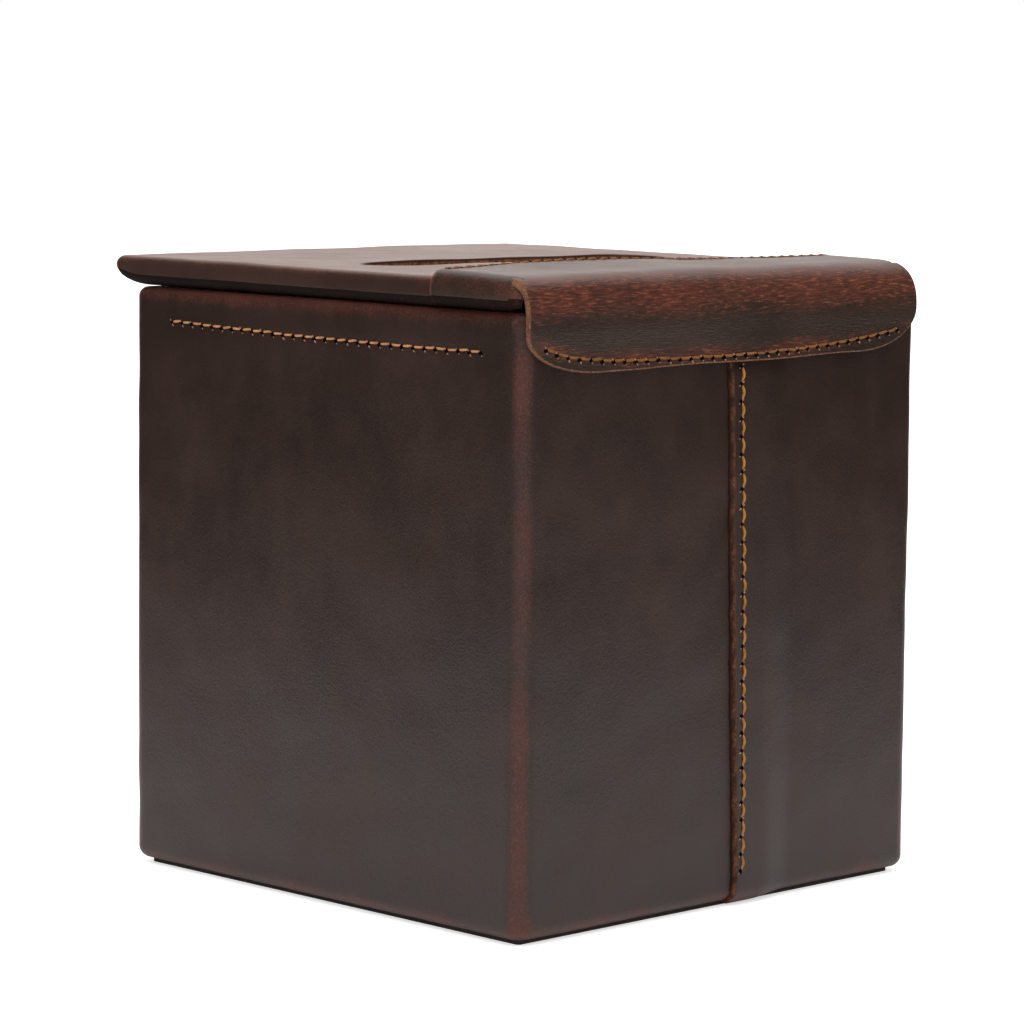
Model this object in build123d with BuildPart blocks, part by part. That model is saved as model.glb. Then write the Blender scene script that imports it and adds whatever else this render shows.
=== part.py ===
# Leather tissue box with a lid on a leather strap hinge. Millimetres, +Z up.
# Origin: middle of the box's footprint, on the surface it stands on.
# -Y is the front, where the lid's lip overhangs. +Y is the rear, where the strap
# comes off the lid, bends round its rear edge and is sewn to the wall.
import os
from math import atan2, degrees

from build123d import *

os.makedirs("parts", exist_ok=True)

# ---------------------------------------------------------------- driving dimensions
# Box, measured over the leather
body_width = 130.0
body_depth = 132.0
rim_height = 137.4
leather = 1.8
board = 3.0
lining = 0.8
corner_radius = 4.5
smallest_corner_radius = 0.4
bottom_radius = 4.0
rim_radius = 3.0
hem_inner_radius = 1.0
hem_depth = 14.0
base_return = 14.0
base_panel_thickness = 1.2
base_panel_inset = 3.5

# Lapped seam down the middle of the rear wall: one end of the wrap lies on the other
seam_edge_x = -2.4
seam_land = 9.0
seam_taper = 10.0
seam_rise = 1.2

# Lid
lid_side_inset = 0.3
lid_front_lip = 5.6
lid_rear_inset = 3.6
lid_board = 3.4
lid_return_thickness = 1.5
lid_return = 14.0
lid_corner_radius = 3.0
lid_edge_radius = 2.4
lid_lower_radius = 1.3
lid_seat_gap = 0.3
slot_length = 92.0
slot_width = 21.0
slot_y = -2.4

# Strap: one strip of leather from the lid's top to the rear wall
strap = 1.8
strap_side = 1.6
strap_cover = 22.0
strap_bend_radius = 6.0
strap_shift = 2.0
flap_width = 126.6
flap_top_below_rim = 3.4
flap_height = 10.3
flap_corner_radius = 8.0
flap_seam_gap = 0.3

# Thread and stitches
thread = 0.9
thread_rise = 0.5
thread_round = 0.2
stitch_length = 2.7
stitch_pitch = 3.5
stitch_slant = 20.0
seam_stitch_length = 3.0
seam_stitch_pitch = 3.9
hem_row_below_rim = 8.6
hem_row_end_margin = 13.3
seam_row_from_edge = 3.3
seam_row_bottom = 6.0
flap_row_margin = 2.3
flap_row_end_rise = 0.6
strap_row_margin = 1.8
strap_row_end_margin = 4.5

# ---------------------------------------------------------------- worked-out places
half_width = body_width / 2
half_depth = body_depth / 2
wrap_bottom = base_panel_thickness
return_top = wrap_bottom + leather
floor_top = return_top + board
rim_underside = rim_height - leather
board_inset = leather + board
hem_inset = board_inset + leather
hem_bottom = rim_height - hem_depth
wall_board_height = rim_underside - return_top

lid_bottom = rim_height + lid_seat_gap
lid_board_bottom = lid_bottom + lid_return_thickness
lid_top = lid_board_bottom + lid_board + leather
lid_front = -half_depth - lid_front_lip
lid_rear = half_depth - lid_rear_inset
lid_half_width = half_width - lid_side_inset
lid_depth = lid_rear - lid_front
lid_middle_y = (lid_front + lid_rear) / 2

bend_middle_y = half_depth - strap_bend_radius
bend_middle_z = lid_top - strap_bend_radius
strap_front = bend_middle_y - strap_cover
flap_top = rim_height - flap_top_below_rim
flap_bottom = flap_top - flap_height
flap_left = strap_shift - flap_width / 2
flap_right = strap_shift + flap_width / 2
seam_top = flap_bottom - flap_seam_gap


def body_outline(inset, mode=Mode.ADD):
    """The box's plan outline, drawn in by inset, in the sketch that is open."""
    radius = max(corner_radius - inset, smallest_corner_radius)
    RectangleRounded(body_width - 2 * inset, body_depth - 2 * inset, radius, mode=mode)


def lid_plane(z):
    """A level plane under the middle of the lid."""
    return Plane((0, lid_middle_y, z))


def lid_outline(inset):
    """The lid's plan outline, drawn in by inset, in the sketch that is open."""
    radius = max(lid_corner_radius - inset, smallest_corner_radius)
    RectangleRounded(2 * (lid_half_width - inset), lid_depth - 2 * inset, radius)


def slot_plane(z):
    """A level plane under the middle of the tissue slot."""
    return Plane((0, slot_y, z))


def stitches_at(length, places):
    """Sketches one stitch at each (x, y, direction in degrees) of the open sketch."""
    for x, y, direction in places:
        with Locations((x, y)):
            SlotOverall(length, thread, rotation=direction)


def straight_places(row_length, pitch, slant):
    """Evenly spaced places along the open sketch's X axis, middle at its origin."""
    count = int(row_length / pitch)
    return [((i - count / 2) * pitch, 0, slant) for i in range(count + 1)]


def thread_edges(row, plane):
    """The outer edges of a row of stitches that was extruded from plane."""
    outer = [f for f in row.faces() if plane.to_local_coords(f.center()).Z > 0.9 * thread_rise]
    return ShapeList(edge for face in outer for edge in face.edges())


def save(part, name):
    """Labels a finished piece and writes it to parts/."""
    part.label = name
    export_step(part, f"parts/{name}.step")


# ---------------------------------------------------------------- box: leather wrap
with BuildPart() as body_leather:
    with BuildSketch(Plane.XY.offset(wrap_bottom)):
        body_outline(0)
    extrude(amount=rim_height - wrap_bottom)
    fillet(body_leather.edges().group_by(Axis.Z)[0], bottom_radius)
    fillet(body_leather.edges().group_by(Axis.Z)[-1], rim_radius)
    # Room for the boards and everything inside them
    with BuildSketch(Plane.XY.offset(return_top)):
        body_outline(leather)
    extrude(amount=wall_board_height, mode=Mode.SUBTRACT)
    # Mouth of the box, inside the turned rim
    with BuildSketch(Plane.XY.offset(rim_underside)):
        body_outline(hem_inset)
    mouth = extrude(amount=leather, mode=Mode.SUBTRACT)
    mouth_box = mouth.bounding_box()
    mouth_edges = [
        edge
        for edge in body_leather.edges().group_by(Axis.Z)[-1]
        if edge.bounding_box().max.X < mouth_box.max.X + 0.1
        and edge.bounding_box().min.X > mouth_box.min.X - 0.1
        and edge.bounding_box().max.Y < mouth_box.max.Y + 0.1
        and edge.bounding_box().min.Y > mouth_box.min.Y - 0.1
    ]
    fillet(mouth_edges, hem_inner_radius)
    # The leather turned under the floor stops short of the middle
    with BuildSketch(Plane.XY.offset(wrap_bottom)):
        body_outline(leather + base_return)
    extrude(amount=leather, mode=Mode.SUBTRACT)
    # Hem turned down inside the boards
    with BuildSketch(Plane.XY.offset(hem_bottom)):
        body_outline(board_inset)
        body_outline(hem_inset, mode=Mode.SUBTRACT)
    extrude(amount=rim_underside - hem_bottom)
    # Lap of the seam, skived flat behind its raw edge
    with BuildSketch(Plane.XY.offset(wrap_bottom + bottom_radius)):
        with BuildLine():
            Polyline(
                (seam_edge_x, half_depth),
                (seam_edge_x, half_depth + seam_rise),
                (seam_edge_x - seam_land, half_depth + seam_rise),
                (seam_edge_x - seam_land - seam_taper, half_depth),
                close=True,
            )
        make_face()
    extrude(amount=seam_top - wrap_bottom - bottom_radius)
save(body_leather.part, "body_leather")

# ---------------------------------------------------------------- box: boards
side_board_x = half_width - leather - board / 2
end_board_y = half_depth - leather - board / 2

for side, name in ((1, "right_board"), (-1, "left_board")):
    with BuildPart() as side_board:
        with BuildSketch(Plane((side * side_board_x, 0, return_top))):
            Rectangle(board, body_depth - 2 * leather)
        extrude(amount=wall_board_height)
        outer_edges = side_board.edges().filter_by(Axis.Z).group_by(Axis.X)[-1 if side > 0 else 0]
        fillet(outer_edges, corner_radius - leather)
    save(side_board.part, name)

for side, name in ((1, "rear_board"), (-1, "front_board")):
    with BuildPart() as end_board:
        with BuildSketch(Plane((0, side * end_board_y, return_top))):
            Rectangle(body_width - 2 * board_inset, board)
        extrude(amount=wall_board_height)
    save(end_board.part, name)

with BuildPart() as base_board:
    with BuildSketch(Plane.XY.offset(return_top)):
        Rectangle(body_width - 2 * board_inset, body_depth - 2 * board_inset)
    extrude(amount=board)
save(base_board.part, "base_board")

# Card that fills the well between the turned-in edges, so that the base lies flat
with BuildPart() as base_infill:
    with BuildSketch(Plane.XY.offset(wrap_bottom)):
        body_outline(leather + base_return)
    extrude(amount=leather)
save(base_infill.part, "base_infill")

with BuildPart() as base_panel:
    with BuildSketch():
        body_outline(base_panel_inset)
    extrude(amount=base_panel_thickness)
save(base_panel.part, "base_panel")

# ---------------------------------------------------------------- box: lining
with BuildPart() as wall_lining:
    with BuildSketch(Plane.XY.offset(floor_top)):
        body_outline(board_inset)
        body_outline(board_inset + lining, mode=Mode.SUBTRACT)
    extrude(amount=hem_bottom - floor_top)
save(wall_lining.part, "wall_lining")

with BuildPart() as floor_lining:
    with BuildSketch(Plane.XY.offset(floor_top)):
        body_outline(board_inset + lining)
    extrude(amount=lining)
save(floor_lining.part, "floor_lining")

# ---------------------------------------------------------------- lid
with BuildPart() as lid_board_part:
    with BuildSketch(lid_plane(lid_board_bottom)):
        lid_outline(leather)
    extrude(amount=lid_board)
    with BuildSketch(slot_plane(lid_board_bottom)):
        SlotOverall(slot_length, slot_width)
    extrude(amount=lid_board, mode=Mode.SUBTRACT)
save(lid_board_part.part, "lid_board")

with BuildPart() as lid_leather:
    with BuildSketch(lid_plane(lid_bottom)):
        lid_outline(0)
    extrude(amount=lid_top - lid_bottom)
    fillet(lid_leather.edges().group_by(Axis.Z)[-1], lid_edge_radius)
    fillet(lid_leather.edges().group_by(Axis.Z)[0], lid_lower_radius)
    with BuildSketch(lid_plane(lid_board_bottom)):
        lid_outline(leather)
    extrude(amount=lid_board, mode=Mode.SUBTRACT)
    # The edges turned in under the board leave a well for the lining
    with BuildSketch(lid_plane(lid_bottom)):
        lid_outline(leather + lid_return)
    extrude(amount=lid_return_thickness, mode=Mode.SUBTRACT)
    with BuildSketch(slot_plane(lid_top - leather)):
        SlotOverall(slot_length, slot_width)
    extrude(amount=leather, mode=Mode.SUBTRACT)
save(lid_leather.part, "lid_leather")

with BuildPart() as lid_lining:
    with BuildSketch(lid_plane(lid_bottom)):
        lid_outline(leather + lid_return)
    extrude(amount=lid_return_thickness)
    with BuildSketch(slot_plane(lid_bottom)):
        SlotOverall(slot_length, slot_width)
    extrude(amount=lid_return_thickness, mode=Mode.SUBTRACT)
save(lid_lining.part, "lid_lining")

# ---------------------------------------------------------------- strap
# Cap over the rear of the lid: its top, and both sides turned down over the lid's
strap_outer_half_width = lid_half_width + strap_side
with BuildPart() as strap_top:
    with BuildSketch(Plane.XZ.offset(-strap_front)):
        with BuildLine():
            FilletPolyline(
                (-strap_outer_half_width, lid_bottom),
                (-strap_outer_half_width, lid_top + strap),
                (strap_outer_half_width, lid_top + strap),
                (strap_outer_half_width, lid_bottom),
                radius=lid_edge_radius + strap_side,
            )
            Line((strap_outer_half_width, lid_bottom), (-strap_outer_half_width, lid_bottom))
        make_face()
        with BuildLine():
            FilletPolyline(
                (-lid_half_width, lid_bottom),
                (-lid_half_width, lid_top),
                (lid_half_width, lid_top),
                (lid_half_width, lid_bottom),
                radius=lid_edge_radius,
            )
            Line((lid_half_width, lid_bottom), (-lid_half_width, lid_bottom))
        make_face(mode=Mode.SUBTRACT)
    extrude(amount=-strap_cover)
save(strap_top.part, "strap_top")

# The part that bends: round the lid's rear edge and down to the wall
with BuildPart() as strap_bend:
    with BuildSketch(Plane.YZ.offset(flap_left)):
        with BuildLine():
            Line((bend_middle_y, lid_top), (bend_middle_y, lid_top + strap))
            CenterArc((bend_middle_y, bend_middle_z), strap_bend_radius + strap, 0, 90)
            Line((half_depth + strap, bend_middle_z), (half_depth + strap, flap_top))
            Line((half_depth + strap, flap_top), (half_depth, flap_top))
            Line((half_depth, flap_top), (half_depth, bend_middle_z))
            CenterArc((bend_middle_y, bend_middle_z), strap_bend_radius, 0, 90)
        make_face()
    extrude(amount=flap_width)
save(strap_bend.part, "strap_bend")

# Flap sewn to the rear wall, with rounded lower corners
rear_face = Plane((strap_shift, half_depth, flap_bottom), x_dir=(-1, 0, 0), z_dir=(0, 1, 0))
with BuildPart() as strap_flap:
    with BuildSketch(rear_face):
        with Locations((0, flap_height / 2)):
            Rectangle(flap_width, flap_height)
    extrude(amount=strap)
    lower_corners = strap_flap.edges().filter_by(Axis.Y).group_by(Axis.Z)[0]
    fillet(lower_corners, flap_corner_radius)
save(strap_flap.part, "strap_flap")

# ---------------------------------------------------------------- stitches
# Hem rows show outside the wall and inside the turned rim
hem_row_z = rim_height - hem_row_below_rim
hem_walls = (
    ("stitches_right", (1, 0, 0), (0, 1, 0), half_width, body_depth),
    ("stitches_left", (-1, 0, 0), (0, -1, 0), half_width, body_depth),
    ("stitches_front", (0, -1, 0), (1, 0, 0), half_depth, body_width),
)
for name, outward, along, reach, wall_length in hem_walls:
    places = straight_places(wall_length - 2 * hem_row_end_margin, stitch_pitch, stitch_slant)
    out = Vector(outward)
    middle = Vector(0, 0, hem_row_z)
    outer_plane = Plane(middle + out * reach, x_dir=along, z_dir=out)
    inner_plane = Plane(middle + out * (reach - hem_inset), x_dir=Vector(along) * -1, z_dir=out * -1)
    with BuildPart() as hem_stitches:
        for plane in (outer_plane, inner_plane):
            with BuildSketch(plane):
                stitches_at(stitch_length, places)
            row = extrude(amount=thread_rise)
            fillet(thread_edges(row, plane), thread_round)
    save(hem_stitches.part, name)

# Row along the flap's lower edge, turning up at its rounded corners
row_half = flap_width / 2 - flap_row_margin
row_corner = flap_corner_radius - flap_row_margin
row_end = flap_row_margin + row_corner + flap_row_end_rise
with BuildLine() as flap_row:
    FilletPolyline(
        (-row_half, row_end),
        (-row_half, flap_row_margin),
        (row_half, flap_row_margin),
        (row_half, row_end),
        radius=row_corner,
    )
row_wire = flap_row.wires()[0]
flap_count = int(row_wire.length / stitch_pitch)
flap_places = []
for i in range(flap_count):
    share = (i + 0.5) / flap_count
    point = row_wire @ share
    heading = row_wire % share
    flap_places.append((point.X, point.Y, degrees(atan2(heading.Y, heading.X)) + stitch_slant))
flap_face = rear_face.offset(strap)
with BuildPart() as stitches_flap:
    with BuildSketch(flap_face):
        stitches_at(stitch_length, flap_places)
    row = extrude(amount=thread_rise)
    fillet(thread_edges(row, flap_face), thread_round)
save(stitches_flap.part, "stitches_flap")

# Row that closes the lapped seam
seam_row_top = seam_top - seam_stitch_pitch
seam_row_x = seam_edge_x - seam_row_from_edge
seam_row_middle = (seam_row_top + seam_row_bottom) / 2
seam_plane = Plane((seam_row_x, half_depth + seam_rise, seam_row_middle), x_dir=(0, 0, 1), z_dir=(0, 1, 0))
with BuildPart() as stitches_seam:
    with BuildSketch(seam_plane):
        stitches_at(
            seam_stitch_length,
            straight_places(seam_row_top - seam_row_bottom, seam_stitch_pitch, 0),
        )
    row = extrude(amount=thread_rise)
    fillet(thread_edges(row, seam_plane), thread_round)
save(stitches_seam.part, "stitches_seam")

# Row along the strap's front edge, on top of the lid
strap_row_plane = Plane((0, strap_front + strap_row_margin, lid_top + strap))
with BuildPart() as stitches_strap:
    with BuildSketch(strap_row_plane):
        stitches_at(
            stitch_length,
            straight_places(2 * (lid_half_width - strap_row_end_margin), stitch_pitch, stitch_slant),
        )
    row = extrude(amount=thread_rise)
    fillet(thread_edges(row, strap_row_plane), thread_round)
save(stitches_strap.part, "stitches_strap")
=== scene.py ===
# %% [markdown]
# # A leather tissue box with a lid on a leather strap
# This lesson dresses a finished construction model. The construction gives the
# place and size of every piece; here each visible piece gets its real surface:
# waxed leather with worn edges, raw cut edges, saddle stitches and suede lining.
# Everything is in metres, in the frame of the construction model: +Z is up, the
# lid's lip points to -Y and the strap hinge is at +Y.

import bpy
import numpy as np
from mathutils import Matrix, Vector


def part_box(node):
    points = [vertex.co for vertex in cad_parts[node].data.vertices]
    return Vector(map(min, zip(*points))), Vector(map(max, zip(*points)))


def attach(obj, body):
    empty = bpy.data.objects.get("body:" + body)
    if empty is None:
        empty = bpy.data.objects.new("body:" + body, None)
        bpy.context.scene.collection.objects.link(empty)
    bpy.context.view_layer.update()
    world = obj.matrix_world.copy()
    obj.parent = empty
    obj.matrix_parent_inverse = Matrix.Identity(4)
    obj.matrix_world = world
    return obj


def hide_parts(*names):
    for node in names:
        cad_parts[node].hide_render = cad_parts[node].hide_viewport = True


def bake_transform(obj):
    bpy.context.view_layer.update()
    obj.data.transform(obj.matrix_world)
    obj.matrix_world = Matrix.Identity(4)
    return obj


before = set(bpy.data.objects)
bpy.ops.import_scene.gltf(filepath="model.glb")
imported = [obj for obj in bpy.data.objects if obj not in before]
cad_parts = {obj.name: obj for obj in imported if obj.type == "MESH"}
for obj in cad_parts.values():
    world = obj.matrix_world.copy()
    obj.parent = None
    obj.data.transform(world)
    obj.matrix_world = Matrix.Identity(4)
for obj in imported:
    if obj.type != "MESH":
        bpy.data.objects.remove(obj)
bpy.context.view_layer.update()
MM = 0.001

# %% [markdown]
# ## Sizes
# A node's box says where the piece lies at rest, so the sizes are read from the
# boxes and not written down twice. What the boxes can't say, such as the radius
# of an edge or the pitch of a row of stitches, is named here.

# %% Sizes read from the frame
wrap_low, wrap_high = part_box("body_leather")
board_low, board_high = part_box("right_board")
lid_low, lid_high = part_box("lid_leather")
core_low, core_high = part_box("lid_board")
cap_low, cap_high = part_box("strap_top")
lining_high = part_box("wall_lining")[1]

HALF_X = wrap_high.x
HALF_Y = -wrap_low.y
RIM = wrap_high.z
WRAP_BOTTOM = wrap_low.z
LEATHER = HALF_X - board_high.x
BOARD = board_high.x - board_low.x
LID_TOP = lid_high.z
LID_CORE_TOP = core_high.z
LID_CORE_BOTTOM = core_low.z
STRAP = cap_high.z - LID_TOP
print(f"box {2000 * HALF_X:.0f} x {2000 * HALF_Y:.0f} x {1000 * RIM:.1f} mm, leather {1000 * LEATHER:.1f} mm")

# %% Sizes of the edges and of the slot
CORNER_RADIUS = 4.5 * MM
BOTTOM_RADIUS = 2.8 * MM
RIM_RADIUS = 2.3 * MM
RIM_INNER_RADIUS = 1.2 * MM
BASE_RETURN = 14.0 * MM
HEM_INSET = 2 * LEATHER + BOARD
HEM_BOTTOM = lining_high.z
SLOT_HALF_LENGTH = 46.0 * MM
SLOT_HALF_WIDTH = 10.5 * MM
SLOT_Y = -2.4 * MM

# %% [markdown]
# ## Surfaces on a grid
# Every new surface is a function of two parameters, worked out for a whole grid
# at once. One helper turns the grid of points into a mesh. A grid that closes on
# itself in both directions is a ring, which has no edge left open.

# %% Grid helpers
def grid_faces(rows, columns, close_rows, close_columns):
    """Corner indices of the quads between neighbouring grid points, row by row."""
    r = np.arange(rows if close_rows else rows - 1)
    c = np.arange(columns if close_columns else columns - 1)
    r, c = np.meshgrid(r, c, indexing="ij")
    r_next, c_next = (r + 1) % rows, (c + 1) % columns
    quads = [r * columns + c, r * columns + c_next, r_next * columns + c_next, r_next * columns + c]
    return np.stack(quads, axis=-1).reshape(-1, 4)


def mesh_object(name, points, faces, attributes=None):
    """A smooth-shaded object from points, faces and named values for each point."""
    mesh = bpy.data.meshes.new(name)
    mesh.from_pydata(points.reshape(-1, 3).tolist(), [], [list(f) for f in faces])
    for key, values in (attributes or {}).items():
        layer = mesh.attributes.new(key, "FLOAT", "POINT")
        layer.data.foreach_set("value", np.ascontiguousarray(values, np.float32).ravel())
    mesh.polygons.foreach_set("use_smooth", np.ones(len(mesh.polygons), bool))
    mesh.set_sharp_from_angle(angle=np.radians(42))
    piece = bpy.data.objects.new(name, mesh)
    bpy.context.scene.collection.objects.link(piece)
    return piece


def smooth_step(t):
    """0 before 0, 1 after 1, and an S curve 3t^2 - 2t^3 between them."""
    t = np.clip(t, 0, 1)
    return t * t * (3 - 2 * t)


def hump(t, width):
    """A bell of height 1 at 0: e to the minus (t / width) squared."""
    return np.exp(-((t / width) ** 2))


def ripple(points, size, seed):
    """Unevenness of about one unit: fourteen sine waves near one wavelength, in random directions."""
    rng = np.random.default_rng(seed)
    directions = rng.normal(size=(14, 3))
    directions /= np.linalg.norm(directions, axis=1, keepdims=True)
    directions *= (2 * np.pi / (size * rng.uniform(0.7, 1.6, 14)))[:, None]
    return np.sin(points @ directions.T + rng.uniform(0, 2 * np.pi, 14)).sum(-1) / 3.7


# %% [markdown]
# ## Shader helpers
# A material is a small tree of nodes. One function adds a node and wires it, so
# that each recipe below reads as a list of what it mixes.

# %% Node helpers
def new_material(name):
    """An empty node material, its tree and its principled shader."""
    material = bpy.data.materials.new(name)
    material.use_nodes = True
    tree = material.node_tree
    return material, tree, tree.nodes["Principled BSDF"]


def add(tree, kind, inputs=None, **settings):
    """Adds a node; inputs are values, or sockets to link from, by name or number."""
    node = tree.nodes.new(kind)
    for key, value in settings.items():
        setattr(node, key, value)
    for key, value in (inputs or {}).items():
        if isinstance(value, bpy.types.NodeSocket):
            tree.links.new(value, node.inputs[key])
        else:
            node.inputs[key].default_value = value
    return node


def noise(tree, coordinates, size, detail=3.0, roughness=0.55):
    """Noise whose features are about size across, from 0 to 1."""
    inputs = {"Vector": coordinates, "Scale": 1 / size, "Detail": detail, "Roughness": roughness}
    return add(tree, "ShaderNodeTexNoise", inputs).outputs["Fac"]


def ramp(tree, value, low, high, to_low=0.0, to_high=1.0):
    """Maps low..high to to_low..to_high with soft ends, clamped."""
    inputs = {"Value": value, "From Min": low, "From Max": high, "To Min": to_low, "To Max": to_high}
    return add(tree, "ShaderNodeMapRange", inputs, interpolation_type="SMOOTHSTEP").outputs["Result"]


def math(tree, operation, a, b=0.0):
    """One arithmetic step."""
    return add(tree, "ShaderNodeMath", {0: a, 1: b}, operation=operation).outputs[0]


def mix_colour(tree, share, first, second):
    """Colour from first to second as share goes from 0 to 1."""
    node = tree.nodes.new("ShaderNodeMix")
    node.data_type = "RGBA"
    sockets = (node.inputs[0], node.inputs[6], node.inputs[7])
    for socket, value in zip(sockets, (share, first, second)):
        if isinstance(value, bpy.types.NodeSocket):
            tree.links.new(value, socket)
        else:
            socket.default_value = value
    return node.outputs[2]


def rgb(red, green, blue):
    """A display colour of 0 to 255 as the linear colour that a shader takes."""
    s = np.array([red, green, blue]) / 255
    linear = np.where(s <= 0.04045, s / 12.92, ((s + 0.055) / 1.055) ** 2.4)
    return (*linear.tolist(), 1.0)


# %% [markdown]
# ## Waxed leather
# Pull-up leather is dyed dark and waxed. Where it is bent or rubbed the wax moves
# and a redder, lighter brown shows, with fine cracks in the grain. So the recipe
# is a broad cloudy dye with three layers over it, and each piece says on its own
# points how much of them it has: an attribute of wear where it is rubbed, which along
# the box's rim and the strap ears' front ridge also paints a highlight in the worn
# colour; one of raw colour on a cut edge; and one of painted shade and matte where the
# leather lies in shade under the lid, painted near-black with little shine. The grain
# is a bump of a fraction of a millimetre.

# %% Leather material
RAW_DARK = rgb(80, 42, 20)
RAW_LIGHT = rgb(164, 100, 52)
CRACK_TAN = rgb(162, 96, 60)
PAINTED_SHADE_BLACK = rgb(14, 10, 8)
SHEEN_TINT = (1.0, 0.52, 0.36, 1)


def leather_material(name, dark, brown, worn, roughness, streak, relief_depth, scuff, sheen, specular=0.5):
    """Waxed leather: cloudy dye from dark to brown, worn colour where the piece is rubbed, also used as a
    painted highlight along the box's rim and the strap ears' front ridge, and painted shade, near-black,
    where it lies in shade under the lid.

    streak is the pattern's scale along each axis, so less than 1 draws it out, scuff is the
    share of light and dark fibres in the worn places, and roughness is that of sound leather.
    """
    material, tree, shader = new_material(name)
    place = add(tree, "ShaderNodeTexCoord").outputs["Object"]
    drawn_out = add(tree, "ShaderNodeMapping", {"Vector": place, "Scale": streak}).outputs[0]
    clouds = noise(tree, place, 34 * MM, 4)
    patches = noise(tree, drawn_out, 8 * MM, 5, 0.6)
    fibres = noise(tree, drawn_out, 0.36 * MM, 3, 0.6)
    specks = noise(tree, place, 0.7 * MM, 4, 0.6)
    pores = add(tree, "ShaderNodeTexVoronoi", {"Vector": place, "Scale": 1 / (0.6 * MM)}).outputs["Distance"]
    wear_and_highlight, raw, painted_shade_and_matte = (add(tree, "ShaderNodeAttribute", attribute_name=layer).outputs["Fac"]
                        for layer in ("wear_and_highlight", "raw", "painted_shade_and_matte"))

    cloudy = math(tree, "ADD", math(tree, "MULTIPLY", clouds, 0.65), math(tree, "MULTIPLY", patches, 0.35))
    dye = mix_colour(tree, ramp(tree, cloudy, 0.28, 0.72), dark, brown)
    broken = math(tree, "SUBTRACT", math(tree, "ADD", fibres, math(tree, "MULTIPLY", patches, 0.9)), 0.95)
    # This mask is rubbed wear, and along the box's rim and the strap ears' front ridge also a painted
    # highlight, both in the worn colour.
    rubbed_and_highlit = ramp(tree, math(tree, "ADD", wear_and_highlight, broken), 0.12, 1.05)
    rubbed_and_highlit = math(tree, "MULTIPLY", rubbed_and_highlit, ramp(tree, wear_and_highlight, 0.0, 0.35))
    colour = mix_colour(tree, rubbed_and_highlit, dye, worn)
    worn_share = math(tree, "MULTIPLY", ramp(tree, wear_and_highlight, 0.05, 0.8), scuff)
    dark_fibres = math(tree, "MULTIPLY", ramp(tree, fibres, 0.52, 0.34), worn_share)
    light_fibres = math(tree, "MULTIPLY", ramp(tree, fibres, 0.52, 0.74), worn_share)
    colour = mix_colour(tree, dark_fibres, colour, dark)
    colour = mix_colour(tree, light_fibres, colour, CRACK_TAN)
    cut_colour = mix_colour(tree, ramp(tree, specks, 0.35, 0.65), RAW_DARK, RAW_LIGHT)
    colour = mix_colour(tree, raw, colour, cut_colour)
    # Painted shade: the colour is darkened towards near-black where the piece lies in shade under the lid.
    colour = mix_colour(tree, math(tree, "MULTIPLY", painted_shade_and_matte, 0.7), colour, PAINTED_SHADE_BLACK)
    tree.links.new(colour, shader.inputs["Base Color"])

    rough = ramp(tree, cloudy, 0.35, 0.7, roughness - 0.04, roughness + 0.06)
    for layer, extra in ((rubbed_and_highlit, 0.08), (raw, 0.4), (painted_shade_and_matte, 0.4)):
        rough = math(tree, "ADD", rough, math(tree, "MULTIPLY", layer, extra))
    tree.links.new(rough, shader.inputs["Roughness"])
    relief = math(tree, "ADD", math(tree, "MULTIPLY", pores, 0.30), math(tree, "MULTIPLY", fibres, 1.1))
    relief = math(tree, "ADD", relief, math(tree, "MULTIPLY", patches, 0.8))
    bump = add(tree, "ShaderNodeBump", {"Height": relief, "Strength": 0.4, "Distance": relief_depth})
    tree.links.new(bump.outputs[0], shader.inputs["Normal"])
    shader.inputs["Specular IOR Level"].default_value = specular
    shader.inputs["Sheen Weight"].default_value = sheen
    shader.inputs["Sheen Roughness"].default_value = 0.35
    shader.inputs["Sheen Tint"].default_value = SHEEN_TINT
    return material


# %% The leathers of the box
wall_leather = leather_material(
    "wall_leather", rgb(40, 27, 22), rgb(57, 36, 28), rgb(80, 36, 25), roughness=0.38,
    streak=(1.0, 1.0, 0.6), relief_depth=0.16 * MM, scuff=0.2, sheen=0.0)
lid_leather_finish = leather_material(
    "lid_leather", rgb(48, 31, 26), rgb(64, 39, 32), rgb(104, 58, 45), roughness=0.34,
    streak=(1.0, 1.0, 0.5), relief_depth=0.14 * MM, scuff=0.4, sheen=0.32)
strap_leather = leather_material(
    "strap_leather", rgb(40, 30, 24), rgb(56, 39, 30), rgb(90, 40, 25), roughness=0.35,
    streak=(0.13, 1.0, 1.0), relief_depth=0.24 * MM, scuff=0.55, sheen=0.22)
# A darker, less shiny copy of the leather: painted shade for the rounded edges that lie in shade under the
# lid.
painted_shade_leather = leather_material(
    "painted_shade_leather", rgb(20, 13, 10), rgb(30, 19, 15), rgb(52, 28, 20), roughness=0.55,
    streak=(1.0, 1.0, 1.0), relief_depth=0.14 * MM, scuff=0.3, sheen=0.0, specular=0.08)
print("leathers", wall_leather.name, lid_leather_finish.name, strap_leather.name, painted_shade_leather.name)

# %% [markdown]
# ## Raw edges, suede, board and thread
# The cut edge of the leather is fibrous and golden brown. Suede is a short nap:
# rough and slightly uneven. A needle hole takes all light, and the grain that the
# awl lifts beside it is paler. Thread is two plies twisted together, and its
# pattern follows the thread through the piece's own UV map.

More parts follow.
